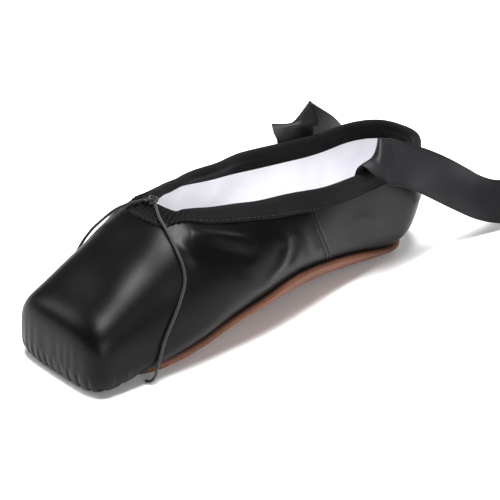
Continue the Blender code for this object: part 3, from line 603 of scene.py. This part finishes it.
ROWS_OUT, ROWS_IN = 140, 36
down = np.linspace(1, 0, ROWS_OUT)[None] * skin_run[:, -1:]
satin = skin_below(down)
satin_out = outward(satin)
below_binding = np.clip((down - BINDING_DEPTH) / FOLD_FADE, 0, 1)
off_seam = satin[..., 1] - seam_place(satin[..., 2])
seam_ridge = SEAM_RISE * np.clip(1.25 - np.abs(off_seam) / SEAM_HALF, 0, 1)
seam_ridge = seam_ridge - SEAM_RISE * np.exp(-(off_seam / SEAM_GROOVE) ** 2)
lift = (fold_height(satin) + pleat_height(satin, upper_run[:, None])) * below_binding + seam_ridge
satin = satin + satin_out * lift[..., None]
down_in = np.linspace(0, 1, ROWS_IN)[None] * skin_run[:, -1:]
drill = skin_below(down_in)
drill = drill - outward(drill) * wall(drill)[..., None]
both = np.concatenate([satin, drill], axis=1)
run_up = np.concatenate([skin_run[:, -1:] - down, skin_run[:, -1:] + down_in], axis=1)
cloth_uv = np.stack(np.broadcast_arrays(upper_run[:, None], run_up), -1)
upper = grid_mesh("upper_satin_and_lining", standing(both), cloth_uv, around=True, over=True)
faces_in = np.tile(np.arange(both.shape[1]) >= ROWS_OUT - 1, COLUMNS).astype(np.int32)
upper.data.polygons.foreach_set("material_index", faces_in)

# Duchess satin: a smooth warp face whose floats run round the shoe, so that its gloss is broad
# and soft. The threads are drawn 0.4 mm apart, coarser than real ones, so that they show.
SATIN_THREADS = (350.0, 2600.0, 1.0)
upper_satin, tree, shader = finish_of("black duchess satin")
place_uv = node(tree, "UVMap", {"uv_map": "cloth"})
threads = node(tree, "Mapping", Vector=place_uv.outputs["UV"], Scale=SATIN_THREADS)
floats = node(tree, "TexNoise", Vector=threads.outputs[0], Scale=1.0, Detail=2.0, Roughness=0.6)
solid = node(tree, "TexCoord")
mottle = node(tree, "TexNoise", Vector=solid.outputs["Object"], Scale=90.0, Detail=4.0)
tone = ramp(tree, mottle.outputs["Fac"], ((0.3, "#060607"), (0.7, "#0c0c0e")))
tree.links.new(tone, shader.inputs["Base Color"])
bump = node(tree, "Bump", Height=floats.outputs["Fac"], Strength=0.22, Distance=0.0002)
tree.links.new(bump.outputs[0], shader.inputs["Normal"])
shader.inputs["Roughness"].default_value = 0.35
shader.inputs["Specular IOR Level"].default_value = 0.20
shader.inputs["Sheen Weight"].default_value = 0.02
upper.data.materials.append(upper_satin)

# Cotton drill, bleached, with a faint lilac cast: matte, its slanted lines 1.2 mm apart.
lining_drill, tree, shader = finish_of("white cotton drill lining")
solid = node(tree, "TexCoord")
soil = node(tree, "TexNoise", Vector=solid.outputs["Object"], Scale=45.0, Detail=4.0)
tone = ramp(tree, soil.outputs["Fac"], ((0.3, "#e2e1e5"), (0.7, "#f0eff2")))
tree.links.new(tone, shader.inputs["Base Color"])
place_uv = node(tree, "UVMap", {"uv_map": "cloth"})
twill = node(tree, "Mapping", Vector=place_uv.outputs["UV"], Rotation=(0, 0, 0.8))
lines = node(tree, "TexWave", {"wave_type": "BANDS"}, Vector=twill.outputs[0], Scale=260.0, Distortion=2.0)
bump = node(tree, "Bump", Height=lines.outputs["Fac"], Strength=0.15, Distance=0.0002)
tree.links.new(bump.outputs[0], shader.inputs["Normal"])
shader.inputs["Roughness"].default_value = 0.85
upper.data.materials.append(lining_drill)
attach(upper, "root")
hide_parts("upper")


# The binding
# A cotton tape folded over the top edge and machined down on both sides: the casing that the
# drawstring runs in. It puckers beside the knot, where the string has drawn it up.
TAPE_THICKNESS, TAPE_ROLL, TAPE_FIT, TAPE_TUCK, TAPE_STEPS = 0.0008, 0.0004, 0.00025, 0.0002, 16
STRING_DOWN, CROWN_STEPS, CROWN_FLAT = 0.0016, 9, 0.9
HEM_DOWN, HEM_HALF, HEM_PRESS, HEM_ROUND = 0.0072, 0.0005, 0.00035, 0.0004
PUCKER_HEIGHT, PUCKER_LENGTH, PUCKER_BACK, PUCKER_REACH = 0.0007, 0.0009, 0.057, 0.006
SWAY_HEIGHT, SWAY_LENGTH = 0.00015, 0.0065


def fold_tape():
    """The tape's section carried round the top edge.

    From the outer hem it runs up the satin, rolls over the edge on a half circle and runs down
    the lining; its thickness grows in the roll, where the string lies."""
    t = np.linspace(0, 1, TAPE_STEPS)
    depth_out = (1 - t) * BINDING_DEPTH
    surface = skin_below(np.broadcast_to(depth_out, (COLUMNS, len(t))))
    normal = outward(surface)
    thick = wall(surface)[..., None]
    roll = TAPE_ROLL * np.exp(-((depth_out - STRING_DOWN) / STRING_DOWN) ** 2)
    hem = HEM_PRESS * np.exp(-((depth_out - HEM_DOWN) / HEM_HALF) ** 2)
    rounded = np.clip((BINDING_DEPTH - depth_out) / HEM_ROUND, 0.35, 1) ** 0.5
    full = (TAPE_THICKNESS + roll - hem) * rounded
    throat = np.exp(-((surface[..., 1] - PUCKER_BACK) / PUCKER_REACH) ** 2)
    pucker = np.sin(upper_run / PUCKER_LENGTH)[:, None] * throat * PUCKER_HEIGHT
    sway = SWAY_HEIGHT * np.sin(upper_run / SWAY_LENGTH)[:, None] * np.ones(len(t))
    outer = surface + normal * (full + TAPE_FIT + pucker + sway)[..., None]
    inner = surface - normal * (thick + (full + TAPE_FIT + sway)[..., None])
    edge, out = surface[:, -1], normal[:, -1]
    up = unit(edge - surface[:, -2])
    middle = edge - out * thick[:, -1] / 2
    arc = np.linspace(0, np.pi, CROWN_STEPS)[1:-1]
    half = (thick[:, -1] / 2 + (full[-1] + TAPE_FIT))[:, None]
    crown = (middle[:, None] + out[:, None] * np.cos(arc)[:, None] * half
             + up[:, None] * np.sin(arc)[:, None] * half * CROWN_FLAT)
    low_in = surface - normal * (thick + TAPE_TUCK / 4)
    low_out = surface + normal * TAPE_TUCK
    return np.concatenate([low_out[:, :1], outer, crown, inner[:, ::-1], low_in[:, :1]], axis=1)


tape = fold_tape()
tape_uv = np.stack(np.broadcast_arrays(upper_run[:, None], lengths_of(tape)), -1)
binding = grid_mesh("binding_tape", standing(tape), tape_uv, around=True, over=True)

# Cotton tape: matte and a little fuzzy, with fine ribs across it about 0.75 mm apart, painted
# darker in the grooves as shade and lighter on the rib tops as light.
tape_cotton, tree, shader = finish_of("black ribbed cotton tape")
place_uv = node(tree, "UVMap", {"uv_map": "cloth"})
ribs = node(tree, "TexWave", {"wave_type": "BANDS", "bands_direction": "X"},
            Vector=place_uv.outputs["UV"], Scale=420.0, Distortion=1.5, Detail=2.0)
solid = node(tree, "TexCoord")
fuzz = node(tree, "TexNoise", Vector=solid.outputs["Object"], Scale=900.0, Detail=3.0)
# Painted light: the rib tops are coloured lighter and the grooves between them darker, as shade.
tone = ramp(tree, ribs.outputs["Fac"], ((0.0, "#0b0b0c"), (1.0, "#161618")))
tree.links.new(tone, shader.inputs["Base Color"])
ribbed = node(tree, "Bump", Height=ribs.outputs["Fac"], Strength=0.2, Distance=0.0003)
bump = node(tree, "Bump", Height=fuzz.outputs["Fac"], Strength=0.25, Distance=0.0003,
            Normal=ribbed.outputs[0])
tree.links.new(bump.outputs[0], shader.inputs["Normal"])
shader.inputs["Roughness"].default_value = 0.85
shader.inputs["Sheen Weight"].default_value = 0.06
shader.inputs["Specular IOR Level"].default_value = 0.2
binding.data.materials.append(tape_cotton)
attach(binding, "root")
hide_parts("binding")


# The insole and the outsole
# The sock is a white cotton cover cut to the foot; the outsole is one piece of tan split
# leather, stitched and glued under the pleats, that follows the arch up its sides.
INSOLE_THICKNESS, SOCK_LOFT = 0.0016, 0.0002
SOLE_ENDS, INSOLE_ENDS = (0.082, 0.935), (0.095, 0.958)
SOLE_SHARE = (
    (0.08, 0.74), (0.20, 0.84), (0.35, 0.90), (0.50, 0.93), (0.64, 0.90), (0.76, 0.875),
    (0.87, 0.80), (1.0, 0.72),
)
INSOLE_SHARE = ((0.08, 0.74), (0.20, 0.78), (0.40, 0.76), (0.60, 0.77), (0.85, 0.80), (1.0, 0.80))
SOLE_END_ROUND, SOLE_END_SQUARENESS, NARROWEST, FLOOR_SKIM = 0.024, 2.4, 0.0001, 0.00001
SOLE_ROWS, SOLE_COLUMNS, ROW_CROWDING, COLUMN_CROWDING = 221, 61, 0.02, 1.25


def sole_bed(ends, share):
    """Points under the last on a grid, and their outward directions.

    The rows run along the sole by the cosine of an angle and the columns across it by the sine
    of one, so that both stand closer at the rim."""
    start, stop = (end * LENGTH for end in ends)
    t = -np.cos(np.linspace(ROW_CROWDING, np.pi - ROW_CROWDING, SOLE_ROWS)) / np.cos(ROW_CROWDING)
    back = (start + stop) / 2 + (stop - start) / 2 * t * 0.9999
    near_end = np.minimum(back - start, stop - back)
    dip = np.clip(1 - near_end / SOLE_END_ROUND, 0, 1)
    round_off = (1 - dip ** SOLE_END_SQUARENESS) ** (1 / SOLE_END_SQUARENESS)
    places, shares = np.array(share).T
    half = smooth(places, shares, back / LENGTH) * section(back)["half_width"] * round_off
    half = np.maximum(half, NARROWEST)
    fan = np.sin(np.linspace(-1, 1, SOLE_COLUMNS) * COLUMN_CROWDING)
    x = half[:, None] * (fan / np.sin(COLUMN_CROWDING))
    back = np.broadcast_to(back[:, None], x.shape)
    high = np.broadcast_to(section(back)["widest"], x.shape)
    z = halve(high, high - VAMP_HEIGHT, lambda middle: depth(x, back, middle) < 0)
    points = np.stack([x, back, z], -1)
    return points, outward(points)


def sole_piece(name, lower, higher, finish):
    """The lower and the higher sheet of a sole, joined by a rim down both sides."""
    rows = np.concatenate([lower, higher[:, ::-1]], axis=1)
    made = grid_mesh(name, standing(rows), rows[..., :2], over=True)
    made.data.materials.append(finish)
    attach(made, "root")
    return made


# Split leather, tanned and left bare: a matte nap of about 2 mm, stained in soft patches.
outsole_leather, tree, shader = finish_of("tan split leather")
solid = node(tree, "TexCoord")
grain = node(tree, "TexNoise", Vector=solid.outputs["Object"], Scale=500.0, Detail=5.0)
stain = node(tree, "TexNoise", Vector=solid.outputs["Object"], Scale=28.0, Detail=3.0)
tone = ramp(tree, stain.outputs["Fac"], ((0.3, "#5f3d2e"), (0.7, "#75503e")))
tree.links.new(tone, shader.inputs["Base Color"])
bump = node(tree, "Bump", Height=grain.outputs["Fac"], Strength=0.4, Distance=0.0003)
tree.links.new(bump.outputs[0], shader.inputs["Normal"])
shader.inputs["Roughness"].default_value = 0.7
bed, bed_out = sole_bed(SOLE_ENDS, SOLE_SHARE)
sole_top = bed + bed_out * SOLE_GAP / 2
sole_bottom = bed + bed_out * (SOLE_GAP + SOLE_THICKNESS)
sole_bottom[..., 2] = np.maximum(sole_bottom[..., 2], FLOOR_SKIM)
outsole = sole_piece("outsole_leather", sole_bottom, sole_top, outsole_leather)
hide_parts("outsole")

# Brushed cotton, bleached: matte, with a fine even nap and hardly any soil.
sock_cotton, tree, shader = finish_of("white cotton sock")
solid = node(tree, "TexCoord")
soil = node(tree, "TexNoise", Vector=solid.outputs["Object"], Scale=30.0, Detail=4.0)
tone = ramp(tree, soil.outputs["Fac"], ((0.3, "#e5e4e8"), (0.7, "#f1f0f3")))
tree.links.new(tone, shader.inputs["Base Color"])
weave = node(tree, "TexNoise", Vector=solid.outputs["Object"], Scale=1400.0, Detail=2.0)
bump = node(tree, "Bump", Height=weave.outputs["Fac"], Strength=0.2, Distance=0.0002)
tree.links.new(bump.outputs[0], shader.inputs["Normal"])
shader.inputs["Roughness"].default_value = 0.85
bed, bed_out = sole_bed(INSOLE_ENDS, INSOLE_SHARE)
seat = (wall(bed) + SOLE_GAP / 2)[..., None]
sock_face = bed - bed_out * (seat + INSOLE_THICKNESS + SOCK_LOFT)
sock = sole_piece("insole_sock", bed - bed_out * seat, sock_face, sock_cotton)
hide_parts("insole")


# The stitches
# Polyester thread, sewn by machine: two black rows down each side seam, one black row round the
# hem of the binding, and a lilac grey row along each side of the sock.
STITCH_RINGS, STITCH_SIDES, STITCH_BLUNT = 6, 8, 0.02
SEAM_SPAN, SEAM_SAMPLES, SEAM_ROW_OFF, SEAM_REACH = (0.011, 0.0465), 60, 0.0014, 0.05
SEAM_PITCH, SEAM_LIFT, SEAM_STITCH = 0.0021, 0.00042, (0.0015, 0.0005, 0.0004)
HEM_PITCH, HEM_LIFT, HEM_STITCH = 0.0026, 0.00062, (0.0018, 0.0005, 0.0005)
SOCK_PITCH, SOCK_LIFT, SOCK_STITCH = 0.0052, 0.00008, (0.0031, 0.0007, 0.0005)


def sew(name, centres, outs, size, finish):
    """A row of stitches: flat ellipsoids along the line of centres, each on its outward direction.

    A stitch is a sphere of rings and sides scaled by half of size = (length, width, height)."""
    way = unit(np.gradient(centres, axis=0))
    across = unit(np.cross(outs, way))
    fall = np.linspace(0, np.pi, STITCH_RINGS)[:, None]
    angle = np.arange(STITCH_SIDES) / STITCH_SIDES * 2 * np.pi
    ball = (np.cos(fall), np.sin(fall) * np.cos(angle), np.sin(fall) * np.sin(angle))
    ball = np.stack(np.broadcast_arrays(*ball), -1)
    ball = np.maximum(np.abs(ball), STITCH_BLUNT) * np.sign(ball + 1e-9) * np.array(size) / 2
    frames = np.stack([way, across, outs], axis=1)
    points = centres[:, None, None] + np.einsum("uvk,nkc->nuvc", ball, frames)
    number = np.arange(points[..., 0].size).reshape(points.shape[:3])
    beside = np.roll(number, -1, axis=2)
    sides = np.stack([number[:, :-1], number[:, 1:], beside[:, 1:], beside[:, :-1]], -1)
    ends = np.concatenate([number[:, 0], number[:, -1, ::-1]])
    faces = sides.reshape(-1, 4).tolist() + ends.tolist()
    mesh = bpy.data.meshes.new(name)
    mesh.from_pydata(points.reshape(-1, 3).tolist(), [], faces)
    mesh.shade_smooth()
    made = bpy.data.objects.new(name, mesh)
    bpy.context.scene.collection.objects.link(made)
    made.data.materials.append(finish)
    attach(made, "root")


def along_line(points, pitch):
    """Points every pitch metres along a line."""
    run = lengths_of(points)
    at = np.arange(pitch / 2, run[-1], pitch)
    return np.stack([np.interp(at, run, points[:, k]) for k in range(3)], -1)


# Spun polyester: too thin to show its twist, so one dull tone each.
black_thread, tree, shader = finish_of("black polyester thread")
shader.inputs["Base Color"].default_value = linear("#1d1d1f")
shader.inputs["Roughness"].default_value = 0.5
grey_thread, tree, shader = finish_of("lilac grey polyester thread")
shader.inputs["Base Color"].default_value = linear("#b3adba")
shader.inputs["Roughness"].default_value = 0.6

heights = np.linspace(*SEAM_SPAN, SEAM_SAMPLES)
level = np.zeros(SEAM_SAMPLES)
for side_of, word in ((1, "near"), (-1, "far")):
    for off, which in ((SEAM_ROW_OFF, "back"), (-SEAM_ROW_OFF, "front")):
        back = seam_place(heights) + off
        x = halve(level, level + SEAM_REACH, lambda wide: depth(wide, back, heights) < 0)
        seam = along_line(np.stack([x * side_of, back, heights], -1), SEAM_PITCH)
        outs = outward(seam)
        sew("side_seam_stitches_" + word + "_" + which, standing(seam + outs * SEAM_LIFT), outs,
            SEAM_STITCH, black_thread)

hem = skin_below(np.full((COLUMNS, 1), HEM_DOWN))[:, 0]
hem = along_line(np.concatenate([hem, hem[:1]]), HEM_PITCH)
outs = outward(hem)
sew("binding_hem_stitches", standing(hem + outs * (TAPE_FIT + HEM_LIFT)), outs, HEM_STITCH, black_thread)

# The sock's rows are sewn along two columns of its own grid, and stop short of toe and heel.
SOCK_ROWS, SOCK_COLUMN = slice(12, -12), 50
for column, word in ((SOCK_COLUMN, "near"), (SOLE_COLUMNS - 1 - SOCK_COLUMN, "far")):
    line = sock_face[SOCK_ROWS, column]
    facing = -bed_out[SOCK_ROWS, column]
    row = along_line(line, SOCK_PITCH)
    outs = unit(np.stack([np.interp(row[:, 1], line[:, 1], facing[:, k]) for k in range(3)], -1))
    sew("sock_stitches_" + word, standing(row + outs * SOCK_LIFT), outs, SOCK_STITCH, grey_thread)


# The studio
# A white paper floor lit by large soft panels and a pale room, so that black satin shows broad
# grey lights and the shadows stay light.
FLOOR_HALF, ROOM_LIGHT, GAMMA = 3.0, 0.24, 0.80
floor_x, floor_y = np.meshgrid((-FLOOR_HALF, FLOOR_HALF), (-FLOOR_HALF, FLOOR_HALF))
floor_points = np.stack([floor_x, floor_y, 0 * floor_x], -1)
floor = grid_mesh("studio_floor", floor_points, np.zeros((2, 2, 2)))
paper, tree, shader = finish_of("white paper floor")
shader.inputs["Base Color"].default_value = linear("#f7f7f8")
shader.inputs["Roughness"].default_value = 0.9
shader.inputs["Specular IOR Level"].default_value = 0.1
floor.data.materials.append(paper)


def panel(name, place, aim, size, power):
    """A rectangular soft light at a place, aimed at a point."""
    light = bpy.data.lights.new(name, "AREA")
    light.shape = "RECTANGLE"
    light.size, light.size_y = size
    light.energy = power
    lamp = bpy.data.objects.new(name, light)
    bpy.context.scene.collection.objects.link(lamp)
    lamp.location = place
    lamp.rotation_euler = (Vector(aim) - Vector(place)).to_track_quat("-Z", "Y").to_euler()


panel("overhead panel", (0.1, -0.1, 1.5), (0, 0, 0), (0.65, 0.65), 46)
panel("left panel", (-1.1, -0.8, 0.9), (0, 0, 0.03), (0.5, 0.7), 8)
panel("right fill", (1.3, -0.6, 0.6), (0, 0, 0.0), (1.2, 0.9), 16)
panel("back panel", (-0.3, 1.4, 0.9), (0, 0, 0.03), (0.9, 0.6), 7)
world = bpy.context.scene.world or bpy.data.worlds.new("studio")
bpy.context.scene.world = world
world.use_nodes = True
background = world.node_tree.nodes["Background"]
background.inputs["Color"].default_value = linear("#ffffff")
background.inputs["Strength"].default_value = ROOM_LIGHT
bpy.context.scene.view_settings.view_transform = "Standard"
bpy.context.scene.view_settings.gamma = GAMMA
